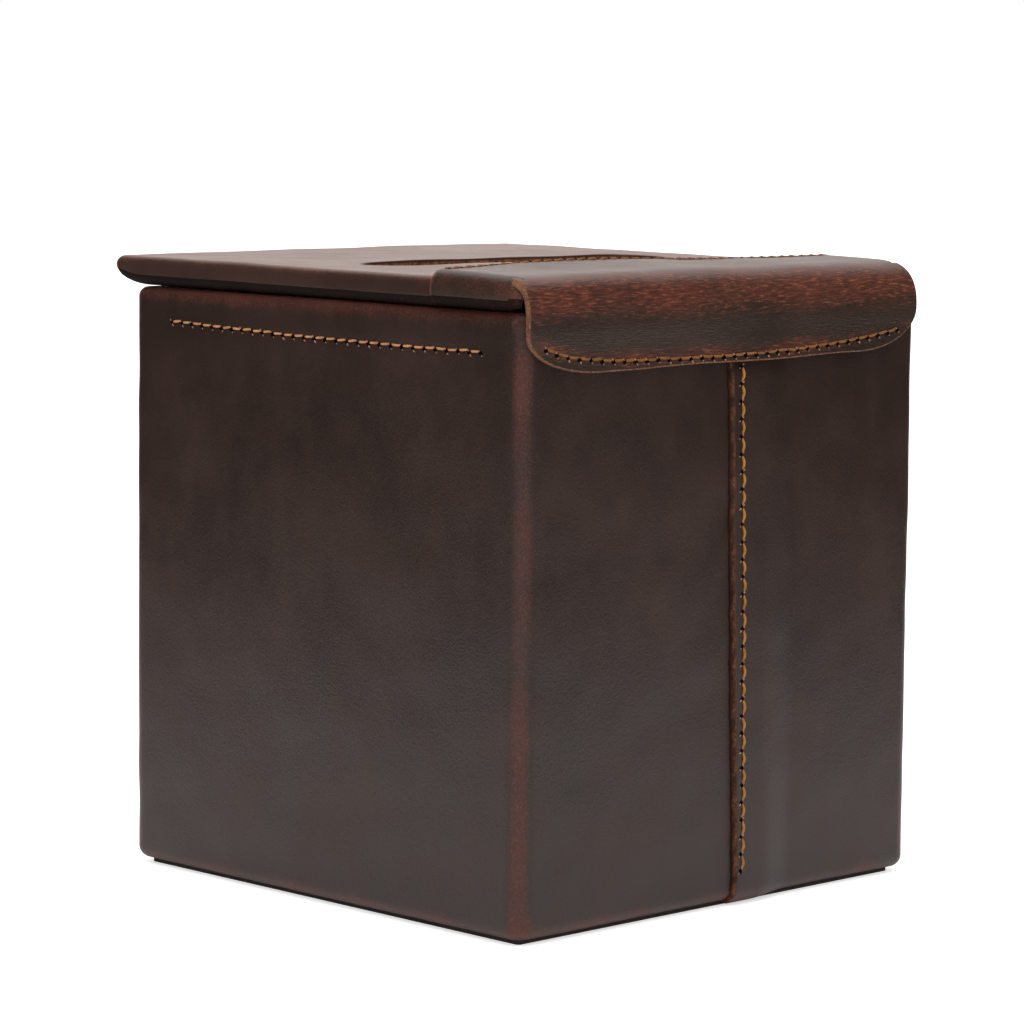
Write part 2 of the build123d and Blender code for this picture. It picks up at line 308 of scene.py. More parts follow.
# %% Fibrous finishes
def fibrous_material(name, low, high, grain, rough=0.85, relief_depth=0.25 * MM, dyed=None, specular=0.5):
    """Rough fibres: two colours mixed by fine noise, and where the attribute "bare" is 0 the colour dyed."""
    material, tree, shader = new_material(name)
    place = add(tree, "ShaderNodeTexCoord").outputs["Object"]
    fine = noise(tree, place, grain, 6, 0.7)
    broad = noise(tree, place, grain * 14, 3)
    blend = math(tree, "ADD", math(tree, "MULTIPLY", fine, 0.65), math(tree, "MULTIPLY", broad, 0.35))
    colour = mix_colour(tree, ramp(tree, blend, 0.36, 0.64), low, high)
    if dyed:
        bare = add(tree, "ShaderNodeAttribute", attribute_name="bare").outputs["Fac"]
        colour = mix_colour(tree, bare, dyed, colour)
    tree.links.new(colour, shader.inputs["Base Color"])
    shader.inputs["Roughness"].default_value = rough
    shader.inputs["Specular IOR Level"].default_value = specular
    bump = add(tree, "ShaderNodeBump", {"Height": fine, "Strength": 0.6, "Distance": relief_depth})
    tree.links.new(bump.outputs[0], shader.inputs["Normal"])
    return material


strap_edge = fibrous_material("strap_edge", rgb(74, 42, 25), rgb(150, 96, 58), 0.5 * MM,
                              rough=0.8, relief_depth=0.2 * MM, dyed=rgb(42, 30, 25))
suede = fibrous_material("suede", rgb(112, 84, 64), rgb(136, 104, 80), 0.9 * MM,
                         rough=0.95, relief_depth=0.15 * MM)
millboard = fibrous_material("millboard", rgb(150, 134, 112), rgb(172, 156, 132), 1.2 * MM,
                             rough=0.95, relief_depth=0.1 * MM)
lid_core = fibrous_material("lid_core", rgb(140, 82, 38), rgb(206, 138, 72), 0.7 * MM)
base_leather = fibrous_material("base_leather", rgb(40, 30, 26), rgb(58, 44, 37), 1.0 * MM,
                                rough=0.7, relief_depth=0.1 * MM)
# Painted shade: a near-black lens stands for the shade inside each needle hole.
needle_hole_shade = fibrous_material("needle_hole_shade", rgb(7, 4, 3), rgb(13, 8, 6), 0.4 * MM,
                               rough=1.0, relief_depth=0.02 * MM, specular=0.05)
lifted_grain = fibrous_material("lifted_grain", rgb(120, 70, 50), rgb(200, 136, 108), 0.4 * MM,
                                rough=0.6, relief_depth=0.1 * MM)

# %% Threads
PLIES = 2


def thread_material(name, light, dark):
    """Twisted waxed thread: stripes aslant on the thread, from its UV map, dark between the plies."""
    material, tree, shader = new_material(name)
    place = add(tree, "ShaderNodeTexCoord")
    split = add(tree, "ShaderNodeSeparateXYZ", {0: place.outputs["UV"]})
    turn = math(tree, "ADD", math(tree, "MULTIPLY", split.outputs[0], 2.6), split.outputs[1])
    wave = math(tree, "SINE", math(tree, "MULTIPLY", turn, PLIES * 2 * np.pi))
    ply = math(tree, "ADD", math(tree, "MULTIPLY", wave, 0.5), 0.5)
    soil = noise(tree, place.outputs["Object"], 2.5 * MM, 4)
    ply_shade = ramp(tree, ply, 0.0, 0.8, 0.45, 1.0)
    soil_shade = ramp(tree, soil, 0.3, 0.65, 0.55, 1.0)
    shade = math(tree, "MULTIPLY", ply_shade, soil_shade)
    tree.links.new(mix_colour(tree, shade, dark, light), shader.inputs["Base Color"])
    shader.inputs["Roughness"].default_value = 0.7
    shader.inputs["Specular IOR Level"].default_value = 0.3
    bump = add(tree, "ShaderNodeBump", {"Height": ply, "Strength": 0.7, "Distance": 0.12 * MM})
    tree.links.new(bump.outputs[0], shader.inputs["Normal"])
    return material


tan_thread = thread_material("tan_thread", rgb(240, 172, 112), rgb(140, 80, 42))
flap_thread = thread_material("flap_thread", rgb(170, 112, 52), rgb(82, 46, 22))
ochre_thread = thread_material("ochre_thread", rgb(206, 144, 66), rgb(104, 60, 22))
print("finishes", len(bpy.data.materials))

# %% [markdown]
# ## The wrap of the box
# One piece of leather goes round the four walls, in under the floor and over the
# rim. Its section is a closed loop of (inset, height); the plan is a rounded
# rectangle, and drawing it in by the inset keeps its corner arcs concentric. The
# grid is section by plan, a ring both ways, so the leather has a real thickness.
# The two ends lap down the middle of the rear wall: there the columns of the
# grid carry a height of their own, and a few of them stand close together and
# draw the groove beside the raw edge, the edge and its rounded top.

# %% The seam's own columns
SEAM_X = -1.8 * MM
SEAM_RISE = 1.3 * MM
SEAM_LAND = 8.0 * MM
SEAM_FALL = 13.0 * MM
# Across the raw edge: place beside the seam in millimetres, share of the rise, share of raw colour.
SEAM_EDGE = np.array([
    (0.9, 0.0, 0.0), (0.55, -0.30, 0.0), (0.12, -0.34, 0.0), (0.05, 0.05, 0.3), (0.0, 0.45, 0.8),
    (-0.04, 0.82, 0.8), (-0.12, 0.95, 0.3), (-0.3, 1.0, 0.0), (-0.7, 1.0, 0.0)])


def seam_columns():
    """Places along the rear wall, the lap's height and its raw colour there, from +X to -X."""
    before = np.linspace(HALF_X - CORNER_RADIUS, SEAM_X + 1.6 * MM, 57)
    after = np.linspace(SEAM_X - 1.5 * MM, -(HALF_X - CORNER_RADIUS), 54)
    beside, rise_share, raw_share = SEAM_EDGE.T
    after_rise = 1 - smooth_step((SEAM_X - SEAM_LAND - after) / SEAM_FALL)
    x = np.concatenate([before, SEAM_X + beside * MM, after])
    height = SEAM_RISE * np.concatenate([0 * before, rise_share, after_rise])
    raw = np.concatenate([0 * before, raw_share, 0 * after])
    return x, height, raw


# %% The plan of the box
def plan_columns(side_count, corner_count):
    """Columns round the plan: share of the half size in x and y, outward normal, lap height, raw."""
    t = np.linspace(-1, 1, side_count)
    turn = np.radians(np.linspace(0, 90, corner_count + 2)[1:-1])
    seam_x, seam_h, seam_raw = seam_columns()
    one, zero = np.ones_like(t), np.zeros_like(t)
    rear = seam_x / (HALF_X - CORNER_RADIUS)
    rear_one, rear_zero = np.ones_like(rear), np.zeros_like(rear)
    sides = [
        (one, t, one, zero, zero, zero),
        (rear, rear_one, rear_zero, rear_one, seam_h, seam_raw),
        (-one, -t, -one, zero, zero, zero),
        (t, -one, zero, -one, zero, zero),
    ]
    parts = []
    for quarter, side in enumerate(sides):
        angle = turn + quarter * np.pi / 2
        sign_x, sign_y = ((1, 1), (-1, 1), (-1, -1), (1, -1))[quarter]
        flat = np.zeros_like(turn)
        corner = (sign_x + flat, sign_y + flat, np.cos(angle), np.sin(angle), flat, flat)
        parts += [np.stack(side), np.stack(corner)]
    return np.concatenate(parts, axis=1)


# %% The section of the wrap
def quarter_turn(centre, radius, first, last, count):
    """Points of an arc about centre in the (inset, height) plane, angles in degrees."""
    angle = np.radians(np.linspace(first, last, count))
    return np.stack([centre[0] + radius * np.cos(angle), centre[1] + radius * np.sin(angle)], axis=1)


def straight(start, end, count):
    """Points from start up to, but without, end."""
    share = np.linspace(0, 1, count, endpoint=False)[:, None]
    return np.array(start) * (1 - share) + np.array(end) * share


wrap_inner = LEATHER + BASE_RETURN
wrap_outside = np.concatenate([
    straight((wrap_inner, WRAP_BOTTOM), (BOTTOM_RADIUS, WRAP_BOTTOM), 5),
    quarter_turn((BOTTOM_RADIUS, WRAP_BOTTOM + BOTTOM_RADIUS), BOTTOM_RADIUS, 270, 180, 8),
    straight((0, WRAP_BOTTOM + BOTTOM_RADIUS + 1 * MM), (0, RIM - 12 * MM), 80),
    straight((0, RIM - 12 * MM), (0, RIM - 6 * MM), 14),
    straight((0, RIM - 6 * MM), (0, RIM - RIM_RADIUS), 3),
    quarter_turn((RIM_RADIUS, RIM - RIM_RADIUS), RIM_RADIUS, 180, 90, 8),
])
wrap_inside = np.concatenate([
    quarter_turn((HEM_INSET - RIM_INNER_RADIUS, RIM - RIM_INNER_RADIUS), RIM_INNER_RADIUS, 90, 0, 5),
    straight((HEM_INSET, RIM - 2 * MM), (HEM_INSET, HEM_BOTTOM), 12),
    straight((HEM_INSET, HEM_BOTTOM), (LEATHER + BOARD, HEM_BOTTOM), 2),
    straight((LEATHER + BOARD, HEM_BOTTOM), (LEATHER + BOARD, RIM - LEATHER), 2),
    straight((LEATHER + BOARD, RIM - LEATHER), (LEATHER, RIM - LEATHER), 2),
    straight((LEATHER, RIM - LEATHER), (LEATHER, WRAP_BOTTOM + LEATHER), 3),
    straight((LEATHER, WRAP_BOTTOM + LEATHER), (wrap_inner, WRAP_BOTTOM + LEATHER), 2),
    straight((wrap_inner, WRAP_BOTTOM + LEATHER), (wrap_inner, WRAP_BOTTOM), 1),
])
wrap_section = np.concatenate([wrap_outside, wrap_inside])


def section_normals(section):
    """Outward normals of a closed section in (inset, height): the tangent turned a quarter."""
    tangent = np.roll(section, -1, axis=0) - np.roll(section, 1, axis=0)
    normal = np.stack([-tangent[:, 1], tangent[:, 0]], axis=1)
    return normal / np.linalg.norm(normal, axis=1, keepdims=True)


# %% Carry the section round the plan
def ring_points(section, columns, half_x, half_y, radius):
    """Point = centre of the corner arc + (radius - inset) along the normal, at the section's height."""
    inset = section[:, 0][:, None]
    inner_radius = np.maximum(radius - inset, 0.3 * MM)
    share_x, share_y, normal_x, normal_y = columns[:4]
    x = share_x * (half_x - inset - inner_radius) + inner_radius * normal_x
    y = share_y * (half_y - inset - inner_radius) + inner_radius * normal_y
    z = np.broadcast_to(section[:, 1][:, None], x.shape)
    return np.stack([x, y, z], axis=-1)


def table_value(table, at):
    """Straight-line value at a place, from a table of {place: value}."""
    return np.interp(at, list(table), list(table.values()))


SEAM_WANDER = {6 * MM: -1.4 * MM, 70 * MM: 0.5 * MM, 122 * MM: 2.1 * MM}


def seam_shift(x, z):
    """How far the raw edge wanders: to +X at the top, to -X at the foot, fading away from it."""
    wander = table_value(SEAM_WANDER, z)
    wander = wander + 0.10 * MM * np.sin(z / (1.7 * MM)) + 0.09 * MM * np.sin(z / (0.63 * MM) + 1)
    return wander * hump(x - SEAM_X, 16 * MM)


columns = plan_columns(104, 9)
points = ring_points(wrap_section, columns, HALF_X, HALF_Y, CORNER_RADIUS)
height = wrap_section[:, 1][:, None]
print("the wrap's grid", points.shape[:2])

# %% How the outer face rises and falls
HEM_ROW_Z = 128.7 * MM
ROW_END = 53 * MM
LAP_UNDER_FLAP_Z = 121 * MM
LAP_UNDER_RIM_Z = 128 * MM


def wall_waves(points):
    """Height of the leather's unevenness over the boards: long waves and short ones."""
    return 0.10 * MM * ripple(points, 46 * MM, 3) + 0.035 * MM * ripple(points, 13 * MM, 4)


def lap_share(height):
    """How much of the lap's height is left: less under the flap, under the rim and below the floor."""
    share = 1 - 0.75 * smooth_step((height - LAP_UNDER_FLAP_Z) / (4 * MM))
    share = share * (1 - 0.8 * smooth_step((height - LAP_UNDER_RIM_Z) / (6 * MM)))
    return share * (1 - 0.25 * smooth_step((WRAP_BOTTOM + 3 * MM - height) / (2 * MM)))


def hem_groove(points, height):
    """Depth of the groove that the hem's thread pulls in the walls, from end to end of the row."""
    from_end = ROW_END - np.minimum(np.abs(points[..., 0]), np.abs(points[..., 1]))
    return 0.10 * MM * hump(height - HEM_ROW_Z, 0.9 * MM) * smooth_step(from_end / (5 * MM))


normals = section_normals(wrap_section)
outward = -normals[:, 0][:, None, None] * np.stack([columns[2], columns[3], 0 * columns[2]], axis=-1)
outward = outward + normals[:, 1][:, None, None] * np.array([0.0, 0.0, 1.0])
on_outside = np.arange(len(wrap_section)) < len(wrap_outside)
# The face that shows: the foot, the wall and the rim.
outer = (on_outside & (wrap_section[:, 0] < HEM_INSET - RIM_INNER_RADIUS / 2))[:, None]
hemmed_wall = columns[3] < 0.5  # every wall but the rear
waves = wall_waves(points) * hump(wrap_section[:, 0][:, None], 3 * MM)
lift = columns[4] * lap_share(height) + waves - hem_groove(points, height) * hemmed_wall
lift = np.where(outer, lift, 0)
points[..., 0] += seam_shift(points[..., 0], points[..., 2]) * (columns[3] > 0.9)
points = points + outward * lift[..., None]

# %% Where the wrap is worn or cut, with a painted highlight along the rim
RIM_SCUFF = np.array([63.6, 64.8, 136.4]) * MM
SEAM_RAW_TOP = 130 * MM

turned = np.minimum(np.abs(columns[2]), np.abs(columns[3])) * 2**0.5  # 0 on a side, 1 amid a corner
wobble = 0.5 + 0.5 * ripple(points, 20 * MM, 7)
corner_wear = smooth_step(turned / 0.85)[None, :] * (0.40 + 0.3 * wobble)
corner_wear = corner_wear + 0.3 * hump(height - WRAP_BOTTOM, 14 * MM) * (turned > 0.1)
foot_wear = 0.8 * hump(height - WRAP_BOTTOM - 0.5 * MM, 2.6 * MM) * (0.6 + 0.4 * wobble)
# Along the rim: real wear, raised further as a painted highlight where the rounded rim catches the light.
rim_wear_and_highlight = 0.85 * hump(height - RIM + 0.8 * MM, 2.4 * MM) * (0.75 + 0.25 * wobble)
wear_and_highlight = 1 - (1 - np.clip(corner_wear, 0, 1)) * (1 - foot_wear) * (1 - rim_wear_and_highlight)
flecks = 0.25 + 0.75 * smooth_step(0.4 + ripple(points, 1.8 * MM, 8))
seam_raw = 0.8 * columns[5] * flecks * (height < SEAM_RAW_TOP)
scuff = hump(np.linalg.norm(points - RIM_SCUFF, axis=-1), 2.2 * MM)
scuff = 0.55 * scuff * smooth_step(ripple(points, 1.6 * MM, 9))
raw = np.maximum(seam_raw, scuff) * outer

# %% The wrap's mesh
faces = grid_faces(*lift.shape, True, True)
box_wrap = mesh_object("box_wrap", points, faces, {"wear_and_highlight": wear_and_highlight, "raw": raw})
box_wrap.data.materials.append(wall_leather)
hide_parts("body_leather")
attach(box_wrap, "box")
print("box_wrap", lift.shape, "points")

# %% [markdown]
# ## The lid's leather
# The lid is a stiff core with leather drawn over it, turned in underneath, and a
# slot cut through. Its surface is again a ring: out from the slot over the top,
# round the edge, back underneath, and home between the leather and the core. Each
# grid column runs from a point of the slot to a point of the lid's outline, so
# the rows pass smoothly from one shape to the other. At the front the lower edge
# sweeps up into a nose to lift the lid by: its curve is longer there.

# %% The plan of the lid and of its slot
LID_HALF_X = lid_high.x
NOSE_FORWARD = 1.4 * MM  # how much further the nose reaches than in the construction
LID_FRONT = lid_low.y - NOSE_FORWARD
LID_HALF_Y = (lid_high.y - LID_FRONT) / 2
LID_MIDDLE_Y = (lid_high.y + LID_FRONT) / 2
LID_CORNER = 2.0 * MM
LID_BOTTOM = lid_low.z + 0.05 * MM
LID_RETURN = 14.0 * MM
TOP_RADIUS = 2.2 * MM
SLOT_LIP = 0.35 * MM
CAP_STRAIGHT = SLOT_HALF_LENGTH - SLOT_HALF_WIDTH
CAP_TURN = 85


def lid_columns(side_count, corner_count):
    """Columns round a plain plan: share of the half size in x and y, and the outward normal."""
    t = np.linspace(-1, 1, side_count)
    turn = np.linspace(0, 90, corner_count + 2)[1:-1]
    parts = []
    for quarter in range(4):
        quarter_angle = np.radians(90 * quarter)
        c, s = round(np.cos(quarter_angle)), round(np.sin(quarter_angle))
        side = np.stack([c - s * t, s + c * t, c + 0 * t, s + 0 * t])
        corner_angle = np.radians(turn) + quarter_angle
        flat = np.zeros_like(turn)
        corner = np.stack([c - s + flat, s + c + flat, np.cos(corner_angle), np.sin(corner_angle)])
        parts += [side, corner]
    return np.concatenate(parts, axis=1)


def slot_outline(columns, grow=0.0):
    """The slot's point for each column: columns of the X sides go round its end arcs, others its straights.

    A side takes the first 85 degrees of a quarter arc, and the lid's corner the rest.
    """
    share_x, share_y, _, normal_y = columns
    corner_share = np.degrees(np.arcsin(np.abs(normal_y))) / 90
    lean = CAP_TURN * share_y + (90 - CAP_TURN) * np.sign(share_y) * corner_share
    on_end = np.abs(share_x) > 0.9999
    angle = np.radians(np.where(on_end, lean, 90 * np.sign(share_y)))
    radius = SLOT_HALF_WIDTH + grow
    x = np.where(on_end, np.sign(share_x) * (CAP_STRAIGHT + radius * np.cos(angle)), CAP_STRAIGHT * share_x)
    return x, SLOT_Y + radius * np.sin(angle)


def lid_outline(columns, inset):
    """The lid's outline drawn in by inset, which may differ from column to column."""
    share_x, share_y, normal_x, normal_y = columns
    radius = np.maximum(LID_CORNER - inset, 0.3 * MM)
    x = share_x * (LID_HALF_X - inset - radius) + radius * normal_x
    y = share_y * (LID_HALF_Y - inset - radius) + radius * normal_y
    return x, y + LID_MIDDLE_Y


# %% The lid's heights
EDGE_REACH, NOSE_REACH = 2.4 * MM, 9.2 * MM
EDGE_RISE, NOSE_RISE = 3.0 * MM, 0.8 * MM
LOW_ROOM = LID_TOP - TOP_RADIUS - LID_BOTTOM
lid_cols = lid_columns(86, 8)
front_facing = np.clip(-lid_cols[3], 0, 1)
low_reach = EDGE_REACH + NOSE_REACH * front_facing**2
low_rise = EDGE_RISE + NOSE_RISE * front_facing


def lid_lift(x, y):
    """How far the top leaves its level plane: a crown behind the slot, a fall to the rear and to -X."""
    crown = 0.85 * MM * hump(x - 20 * MM, 34 * MM) * hump(y - 34 * MM, 42 * MM)
    fall = -0.55 * MM * smooth_step((y + 62 * MM) / (120 * MM))
    edge_sag = -0.25 * MM * smooth_step((-x - 40 * MM) / (24 * MM))
    return crown + fall + edge_sag


def side_lift(y):
    """How far the sides' lower edge rises at the front, into the nose: rise (1 - sqrt(1 - t^2))."""
    sweep = EDGE_REACH + NOSE_REACH
    t = np.clip((LID_FRONT + sweep - y) / sweep, 0, 0.96)
    return (EDGE_RISE + NOSE_RISE) * (1 - np.sqrt(1 - t**2)) * (1 - front_facing**2)


# %% The lid's rows, from the slot outwards
rows_xy, rows_z, rows_lift, rows_part = [], [], [], []


def lid_row(part, xy, z, lift, edge=0.0):
    """Stores one row: its plan points, its height, its share of the top's lift and of the side's lift."""
    rows_part.append(part)
    rows_xy.append(np.stack(xy))
    rows_z.append(z * np.ones_like(lid_cols[0]) + edge * side_lift(xy[1]))
    rows_lift.append(lift)


for z, lift in ((0, 0.0), (0.75 * MM, 0.5), (0.9 * MM, 0.6), (1.45 * MM, 1.0)):
    lid_row("slot wall", slot_outline(lid_cols), LID_CORE_TOP + z, lift)
for angle in np.radians([30, 60]):
    xy = slot_outline(lid_cols, SLOT_LIP * (1 - np.cos(angle)))
    lid_row("slot lip", xy, LID_TOP - SLOT_LIP * (1 - np.sin(angle)), 1.0)
inner_xy = np.stack(slot_outline(lid_cols, SLOT_LIP))
outer_xy = np.stack(lid_outline(lid_cols, TOP_RADIUS))
for share in np.concatenate([[0, 0.012, 0.03], np.linspace(0.06, 1, 42)]):
    lid_row("top", inner_xy * (1 - share) + outer_xy * share, LID_TOP, 1.0)
for angle in np.radians(np.linspace(12, 90, 7)):
    xy = lid_outline(lid_cols, TOP_RADIUS * (1 - np.sin(angle)))
    lid_row("upper edge", xy, LID_TOP - TOP_RADIUS * (1 - np.cos(angle)), 1.0)
for angle in np.radians(np.linspace(0, 90, 8)):
    xy = lid_outline(lid_cols, low_reach * (1 - np.cos(angle)))
    rise = np.minimum(low_rise, LOW_ROOM - side_lift(xy[1]))
    lid_row("lower edge", xy, LID_BOTTOM + rise * (1 - np.sin(angle)), 1.0, 1.0)
print("rows of the lid's outside", len(rows_part))

# %% The lid's rows underneath and against the core
return_inset = LEATHER + LID_RETURN
for share in (0.15, 0.3, 0.5, 0.7, 0.85, 1.0):
    xy = lid_outline(lid_cols, low_reach + (return_inset - low_reach) * share)
    lid_row("return", xy, LID_BOTTOM, 1 - 0.6 * share, 1 - smooth_step(share / 0.35))
cut_xy = lid_outline(lid_cols, return_inset + 0.2 * MM)
core_xy = lid_outline(lid_cols, LEATHER + NOSE_FORWARD * front_facing)
lid_row("cut edge", cut_xy, LID_BOTTOM + 0.25 * MM, 0.4)
lid_row("cut edge", cut_xy, LID_CORE_BOTTOM, 0.0)
lid_row("against the core", core_xy, LID_CORE_BOTTOM + 0.8 * MM, 0.0)
lid_row("against the core", core_xy, LID_CORE_TOP, 0.0)

lid_points = np.stack([*np.stack(rows_xy, axis=1), np.stack(rows_z)], axis=-1)
row_lift = np.array(rows_lift)[:, None]
lid_points[..., 2] += row_lift * (
    lid_lift(lid_points[..., 0], lid_points[..., 1]) + 0.06 * MM * ripple(lid_points, 26 * MM, 11))
print("rows of the whole lid", len(rows_part))

# %% Wear, raw edges and painted shade of the lid
row = np.arange(len(rows_part))
first_row = {part: rows_part.index(part) for part in rows_part}
LOW_ROW = first_row["lower edge"]
nose = hump(row - first_row["upper edge"], 4.0)[:, None]
low_edge = hump(row - (LOW_ROW + 4), 2.2)[:, None]
corner_columns = np.abs(lid_cols[2] * lid_cols[3]) > 0.02
rubbing = 0.5 + 0.5 * ripple(lid_points, 17 * MM, 12)
lid_wear = np.maximum(0.75 * nose, 0.5 * low_edge) * (0.55 + 0.3 * rubbing + 0.3 * corner_columns)
round_slot = (row >= first_row["slot lip"]) & (row < first_row["top"] + 2)
lid_wear = np.maximum(lid_wear, 0.30 * round_slot[:, None])
slot_raw = 1.0 * (row < first_row["slot lip"] - 1)
cut_raw = 0.9 * ((row >= first_row["cut edge"]) & (row <= first_row["against the core"]))
lid_raw = (slot_raw + cut_raw)[:, None] * np.ones_like(lid_wear)
# Painted shade on the rounded lower edge, which lies in shade above the rim; there the leather is also matte.
lid_painted_shade_and_matte = 0.5 * hump(row - (LOW_ROW + 5), 3.0)[:, None] * np.ones_like(lid_wear)

# %% The lid's mesh, with a darker copy of its leather as painted shade on the rounded lower edge
lid_faces = grid_faces(*lid_wear.shape, True, True)
lid_skin = mesh_object("lid_cover", lid_points, lid_faces[:, ::-1], {
    "wear_and_highlight": lid_wear, "raw": lid_raw, "painted_shade_and_matte": lid_painted_shade_and_matte})
lid_skin.data.materials.append(lid_leather_finish)
lid_skin.data.materials.append(painted_shade_leather)
# The faces of the rounded lower edge take the darker copy, as painted shade.
face_row = np.arange(len(lid_faces)) // lid_wear.shape[1]
shaded = (face_row >= LOW_ROW + 1) & (face_row < first_row["return"] - 1)
lid_skin.data.polygons.foreach_set("material_index", shaded.astype(np.int32))
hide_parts("lid_leather")
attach(lid_skin, "lid")
print("lid_cover", lid_wear.shape, "points")

# %% [markdown]
# ## The strap
# One strip of thick leather caps the rear of the lid, bends round its edge and
# hangs on the wall. Its outer face is a grid: stations along the strip, and
# columns across it. Over the lid the outer columns turn down over its sides as
# ears; past the notch they lie flat and reach out to the strip's own edge, and
# the quads between the two are left out, which is the cut in the leather. A
# Solidify modifier gives the thickness, with the raw colour on the rim.

# %% The strap's path
STRAP_FRONT = cap_low.y
STRAP_RIGHT = 65.4 * MM
STRAP_LEFT = -61.6 * MM
FLAT_RIGHT = 62.0 * MM
FLAT_LEFT = 59.5 * MM
CAP_Z = 145.15 * MM
BEND_START_Y = 57.0 * MM
BEND_Z = 135.0 * MM
WALL_Y = 68.5 * MM
EAR_X = 66.2 * MM
EAR_ROUND = 4.0 * MM
EAR_LOW_ROUND = 2.4 * MM
EAR_BOTTOM = LID_BOTTOM + 0.35 * MM
NOTCH_Y = 62.8 * MM


def strap_top_z(x, y):
    """Height of the strap on the lid: level at the bend, with a wave along its front edge."""
    toward_front = smooth_step((62 * MM - y) / (24 * MM))
    wave = 1.25 * MM * hump(x - 23 * MM, 33 * MM)
    return CAP_Z + toward_front * (0.3 * MM + wave)


def bend_roundness(x):
    """Exponent of the bend's curve: squarer at the right end, rounder at the left."""
    return 2.8 + 0.4 * x / FLAT_RIGHT


# %% The flap on the wall
FLAP_EDGE_Z = 124.2 * MM
FLAP_ROW = {  # place across the flap and height of the row of stitches, in millimetres
    -53.9: 129.7, -38.1: 127.7, -20.9: 126.6, -4.1: 126.1, 12.3: 126.0,
    28.3: 126.2, 43.8: 126.7, 51.6: 127.6, 59.8: 129.5,
}
FLAP_ROW_CURVE = np.polyfit(list(FLAP_ROW), list(FLAP_ROW.values()), 6)


def flap_corner(x, start, end, rise, power):
    """Rise of the edge from start to end, t from 0 to 1: a quarter of the curve t^power + h^power = 1."""
    t = np.clip((x - start) / (end - start), 0, 1)
    return rise * (1 - (1 - t**power) ** (1 / power))


def flap_edge_z(x):
    """Lower edge of the flap: nearly level, with a full corner on the right and a long one on the left."""
    right = flap_corner(x, 43.0 * MM, STRAP_RIGHT, 9.2 * MM, 2.15)
    left = flap_corner(-x, 41.0 * MM, -STRAP_LEFT, 9.3 * MM, 2.1)
    return FLAP_EDGE_Z + 0.009 * (31 * MM - x) + right + left + 0.12 * MM * np.sin(x / (9 * MM))


def flap_row_z(x):
    """Height of the flap's row of stitches: a smooth curve through the table, level past its ends."""
    return np.polyval(FLAP_ROW_CURVE, np.clip(x / MM, -56, 61)) * MM


def flap_y(x, z):
    """Outer face of the flap: it settles towards the wall at its stitches and bulges over the seam's lap."""
    settle = 0.6 * MM * smooth_step((BEND_Z - z) / (8 * MM))
    curl = 0.06 * MM * smooth_step((FLAP_EDGE_Z + 2 * MM - z) / (2.2 * MM))
    lap = 0.4 * MM * hump(x - SEAM_X + 7 * MM, 12 * MM) * smooth_step((133 * MM - z) / (5 * MM))
    far_end = -0.5 * MM * smooth_step((-x - 50 * MM) / (12 * MM))
    return WALL_Y - settle + curl + lap + far_end


# %% One station of the strap
def strap_station(kind, value, x):
    """Outer face (y, z) across the strip at one station: on the lid, round the bend or down the wall."""
    if kind == "lid":
        y = value * np.ones_like(x)
        return y, strap_top_z(x, y)
    if kind == "bend":
        power = 2 / bend_roundness(x)
        reach_y = flap_y(x, BEND_Z) - BEND_START_Y
        reach_z = strap_top_z(x, BEND_START_Y) - BEND_Z
        y = BEND_START_Y + reach_y * np.sin(value) ** power
        return y, BEND_Z + reach_z * np.cos(value) ** power
    z = BEND_Z + (flap_edge_z(x) - BEND_Z) * value
    return flap_y(x, z), z


# %% Where the stations and the columns are
lid_stations = [("lid", y) for y in np.linspace(STRAP_FRONT, BEND_START_Y, 22)]
bend_stations = [("bend", a) for a in np.radians(np.concatenate([np.linspace(6, 84, 34), [87, 89]]))]
wall_stations = [("wall", w) for w in [*np.linspace(0.03, 0.93, 20), 0.965, 0.97, 1]]
stations = lid_stations + bend_stations + wall_stations
flat_x = np.linspace(-FLAT_LEFT, FLAT_RIGHT, 96)
ear_share = np.linspace(0, 1, 21)[1:]
EAR_CLOSING_Y = 44 * MM
EAR_TUCK = 1.3  # how far the ear's foot turns in, in radians


def ear_points(side, base_y, base_z, closing):
    """Ear from the strap's edge: a quarter round, straight down the lid's side, and a part round in.

    closing goes from 0 to 1 towards the notch, where the middle of the ear reaches further
    back than its foot and draws in against the bend.
    """
    turn = EAR_ROUND * np.pi / 2
    inner = FLAT_RIGHT if side > 0 else FLAT_LEFT
    flat = EAR_X - EAR_ROUND - inner
    drop = base_z - EAR_ROUND - EAR_BOTTOM - EAR_LOW_ROUND
    along = ear_share * (flat + turn + drop + EAR_TUCK * EAR_LOW_ROUND)
    a = np.clip((along - flat) / EAR_ROUND, 0, np.pi / 2)
    down = np.clip(along - flat - turn, 0, drop)
    b = np.clip((along - flat - turn - drop) / EAR_LOW_ROUND, 0, EAR_TUCK)
    x = inner + np.minimum(along, flat) + EAR_ROUND * np.sin(a) - EAR_LOW_ROUND * (1 - np.cos(b))
    z = base_z - EAR_ROUND * (1 - np.cos(a)) - down - EAR_LOW_ROUND * np.sin(b)
    reach = 2.9 * MM if side > 0 else -3.5 * MM
    middle = reach * np.sin(np.pi * 0.75 * ear_share) ** 0.8
    foot = -0.7 * MM * smooth_step((ear_share - 0.6) / 0.4)
    y = base_y + closing * (middle + foot)
    x = x - 1.6 * MM * closing * smooth_step((y - 62 * MM) / (4 * MM))
    return np.stack([side * x, y, z], axis=-1)


def strip_edge_points(side, kind, value):
    """The same columns past the notch, where they lie flat out to the strip's edge."""
    inner, end = (FLAT_RIGHT, STRAP_RIGHT) if side > 0 else (-FLAT_LEFT, STRAP_LEFT)
    x = inner + (end - inner) * ear_share
    y, z = strap_station(kind, value, x)
    return np.stack([x, y, z], axis=-1)


